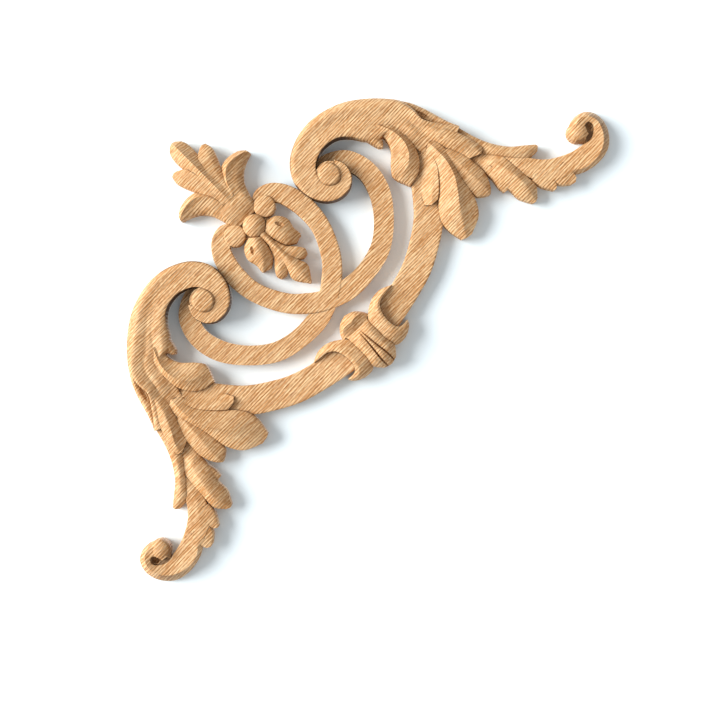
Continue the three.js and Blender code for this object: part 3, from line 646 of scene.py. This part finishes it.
# pale sanded oak, its grain running up to the right, across the carving's own diagonal
oakLook = {
    "grainTurn": math.radians(45),
    "waver": {"scale": 16, "detail": 1, "amount": 0.0035},
    "lines": {"stretch": (20, 22, 192), "distortion": 3.0, "detail": 1, "detailScale": 3.0, "share": 0.3},
    "fade": {"stretch": (60, 60, 1200), "detail": 1.0, "share": 1.15},
    "fibre": {"stretch": (420, 400, 1900), "detail": 0.0, "share": 0.7},
    "bands": {"stretch": (9, 30, 220), "detail": 1.0, "share": 0.24},
    "clouds": {"stretch": (5, 14, 22), "detail": 1.0, "share": 0.2},
    "pores": {"stretch": (150, 90, 1500), "detail": 0.0, "from": 0.62, "to": 0.76, "depth": 0.4},
    "dark": (0.4, 0.182, 0.057, 1),
    "middle": (0.53, 0.297, 0.132, 1),
    "light": (0.655, 0.43, 0.226, 1),
    "stops": (0.25, 0.5, 0.75),
    # side: the dark colour of the painted shade on the steep sides and in the seams; seam: how far the
    # painted seam shade goes toward it
    "side": (0.1, 0.05, 0.022, 1),
    "seamShade": 0.75,
    "pore": (0.25, 0.105, 0.04, 1),
    "roughness": 0.62,
    "specular": 0.3,
    "bump": 0.00022,
}
oak = bpy.data.materials.new("oak")
oak.use_nodes = True
nodes, links = oak.node_tree.nodes, oak.node_tree.links
oakShader = nodes["Principled BSDF"]
oakShader.inputs["Roughness"].default_value = oakLook["roughness"]
oakShader.inputs["Specular IOR Level"].default_value = oakLook["specular"]
place = nodes.new("ShaderNodeTexCoord")
turned = nodes.new("ShaderNodeMapping")
turned.inputs["Rotation"].default_value = (0, oakLook["grainTurn"], 0)
links.new(place.outputs["Object"], turned.inputs["Vector"])
waver = nodes.new("ShaderNodeTexNoise")
waver.inputs["Scale"].default_value = oakLook["waver"]["scale"]
waver.inputs["Detail"].default_value = oakLook["waver"]["detail"]
links.new(turned.outputs["Vector"], waver.inputs["Vector"])
waverShift = nodes.new("ShaderNodeVectorMath")
waverShift.operation = "MULTIPLY_ADD"
waverShift.inputs[1].default_value = (0, 0, oakLook["waver"]["amount"])
links.new(waver.outputs["Color"], waverShift.inputs[0])
links.new(turned.outputs["Vector"], waverShift.inputs[2])


def grainNoise(look):
    # noise drawn out along the grain
    stretch = nodes.new("ShaderNodeVectorMath")
    stretch.operation = "MULTIPLY"
    stretch.inputs[1].default_value = look["stretch"]
    links.new(waverShift.outputs["Vector"], stretch.inputs[0])
    noise = nodes.new("ShaderNodeTexNoise")
    noise.inputs["Scale"].default_value = 1
    noise.inputs["Detail"].default_value = look["detail"]
    links.new(stretch.outputs["Vector"], noise.inputs["Vector"])
    return noise.outputs["Fac"]


def weighted(value, share, total):
    # total plus share times the value's distance from its middle
    step = nodes.new("ShaderNodeMath")
    step.operation = "MULTIPLY_ADD"
    step.inputs[1].default_value = share
    step.inputs[2].default_value = -0.5 * share
    links.new(value, step.inputs[0])
    if total is None:
        step.inputs[2].default_value += 0.5
        return step.outputs["Value"]
    join = nodes.new("ShaderNodeMath")
    links.new(step.outputs["Value"], join.inputs[0])
    links.new(total, join.inputs[1])
    return join.outputs["Value"]


# fine even lines, wavering and fading along their length
lineStretch = nodes.new("ShaderNodeVectorMath")
lineStretch.operation = "MULTIPLY"
lineStretch.inputs[1].default_value = oakLook["lines"]["stretch"]
links.new(waverShift.outputs["Vector"], lineStretch.inputs[0])
lineWave = nodes.new("ShaderNodeTexWave")
lineWave.bands_direction = "Z"
lineWave.inputs["Scale"].default_value = 1
lineWave.inputs["Distortion"].default_value = oakLook["lines"]["distortion"]
lineWave.inputs["Detail"].default_value = oakLook["lines"]["detail"]
lineWave.inputs["Detail Scale"].default_value = oakLook["lines"]["detailScale"]
links.new(lineStretch.outputs["Vector"], lineWave.inputs["Vector"])
lines = lineWave.outputs["Fac"]
tone = weighted(lines, oakLook["lines"]["share"], None)
for layer in ("fade", "fibre", "bands", "clouds"):
    tone = weighted(grainNoise(oakLook[layer]), oakLook[layer]["share"], tone)
wood = nodes.new("ShaderNodeValToRGB")
darkStop, middleStop, lightStop = oakLook["stops"]
wood.color_ramp.elements[0].position, wood.color_ramp.elements[0].color = darkStop, oakLook["dark"]
wood.color_ramp.elements[1].position, wood.color_ramp.elements[1].color = lightStop, oakLook["light"]
wood.color_ramp.elements.new(middleStop).color = oakLook["middle"]
links.new(tone, wood.inputs["Fac"])
pores = nodes.new("ShaderNodeMapRange")
pores.interpolation_type = "SMOOTHSTEP"
pores.inputs["From Min"].default_value = oakLook["pores"]["from"]
pores.inputs["From Max"].default_value = oakLook["pores"]["to"]
pores.inputs["To Max"].default_value = oakLook["pores"]["depth"]
links.new(grainNoise(oakLook["pores"]), pores.inputs["Value"])
pored = nodes.new("ShaderNodeMix")
pored.data_type = "RGBA"
pored.inputs["B"].default_value = oakLook["pore"]
links.new(pores.outputs["Result"], pored.inputs["Factor"])
links.new(wood.outputs["Color"], pored.inputs["A"])
colour = pored.outputs["Result"]
# painted shade: the side and seam masks mix the colour toward the dark painted shade colour
for shadeName, depth in (("painted_side_shade", 1), ("painted_seam_shade", oakLook["seamShade"])):
    shadeMask = nodes.new("ShaderNodeAttribute")
    shadeMask.attribute_name = shadeName
    share = nodes.new("ShaderNodeMath")
    share.operation = "MULTIPLY"
    share.inputs[1].default_value = depth
    links.new(shadeMask.outputs["Fac"], share.inputs[0])
    paintedShade = nodes.new("ShaderNodeMix")
    paintedShade.data_type = "RGBA"
    paintedShade.inputs["B"].default_value = oakLook["side"]
    links.new(share.outputs["Value"], paintedShade.inputs["Factor"])
    links.new(colour, paintedShade.inputs["A"])
    colour = paintedShade.outputs["Result"]
links.new(colour, oakShader.inputs["Base Color"])
height = nodes.new("ShaderNodeMath")
height.operation = "SUBTRACT"
links.new(lines, height.inputs[0])
links.new(pores.outputs["Result"], height.inputs[1])
bump = nodes.new("ShaderNodeBump")
bump.inputs["Distance"].default_value = oakLook["bump"]
links.new(height.outputs["Value"], bump.inputs["Height"])
links.new(bump.outputs["Normal"], oakShader.inputs["Normal"])
applique.data.materials.clear()
applique.data.materials.append(oak)

# the wall it hangs on, seen only from the front
wall = {"size": 6.0, "gap": 0.0004, "colour": (0.80, 0.88, 0.91, 1)}
bpy.ops.object.select_all(action="DESELECT")
bpy.ops.mesh.primitive_plane_add(size=wall["size"], location=(0, wall["gap"], 0),
                                 rotation=(math.pi / 2, 0, 0))
wallPlane = bpy.context.object
wallPlane.name = "wall"
bpy.ops.object.transform_apply(location=True, rotation=True, scale=True)
paint = bpy.data.materials.new("wall_paint")
paint.use_nodes = True
nodes, links = paint.node_tree.nodes, paint.node_tree.links
nodes.remove(nodes["Principled BSDF"])
diffuse = nodes.new("ShaderNodeBsdfDiffuse")
diffuse.inputs["Color"].default_value = wall["colour"]
clear = nodes.new("ShaderNodeBsdfTransparent")
sides = nodes.new("ShaderNodeMixShader")
links.new(nodes.new("ShaderNodeNewGeometry").outputs["Backfacing"], sides.inputs["Fac"])
links.new(diffuse.outputs["BSDF"], sides.inputs[1])
links.new(clear.outputs["BSDF"], sides.inputs[2])
links.new(sides.outputs["Shader"], nodes["Material Output"].inputs["Surface"])
wallPlane.data.materials.append(paint)
wallPlane.visible_shadow = False

# light: a soft key from the left and a little above, and a bright room
lights = {
    "key": {"toLight": (-0.81, -0.50, 0.15), "energy": 5.7, "angle": 42},
    "back": {"toLight": (0.2, 1, 0.4), "energy": 1.5, "angle": 40},
}
air = {"colour": (0.95, 0.97, 1, 1), "strength": 0.64}
for lightName, lamp in lights.items():
    bpy.ops.object.light_add(type="SUN", location=(0, 0, 0))
    sun = bpy.context.object
    sun.name = lightName
    sun.data.energy = lamp["energy"]
    sun.data.angle = math.radians(lamp["angle"])
    sun.rotation_euler = Vector(lamp["toLight"]).to_track_quat("Z", "Y").to_euler()
room = bpy.data.worlds.new("room")
bpy.context.scene.world = room
room.use_nodes = True
room.node_tree.nodes["Background"].inputs["Color"].default_value = air["colour"]
room.node_tree.nodes["Background"].inputs["Strength"].default_value = air["strength"]

# the camera, square on; the frame's width holds at the plane, a little in front of the back
view = {"place": (-0.0063, -1.050, -0.0113), "frameWidth": 0.4429, "plane": 0.010, "sensor": 36}
cameraData = bpy.data.cameras.new("camera")
camera = bpy.data.objects.new("camera", cameraData)
bpy.context.collection.objects.link(camera)
camera.location = view["place"]
camera.rotation_euler = (math.pi / 2, 0, 0)
cameraData.sensor_width = view["sensor"]
cameraData.lens = view["sensor"] * (-view["place"][1] - view["plane"]) / view["frameWidth"]
bpy.context.scene.camera = camera
bpy.context.scene.view_settings.view_transform = "Standard"
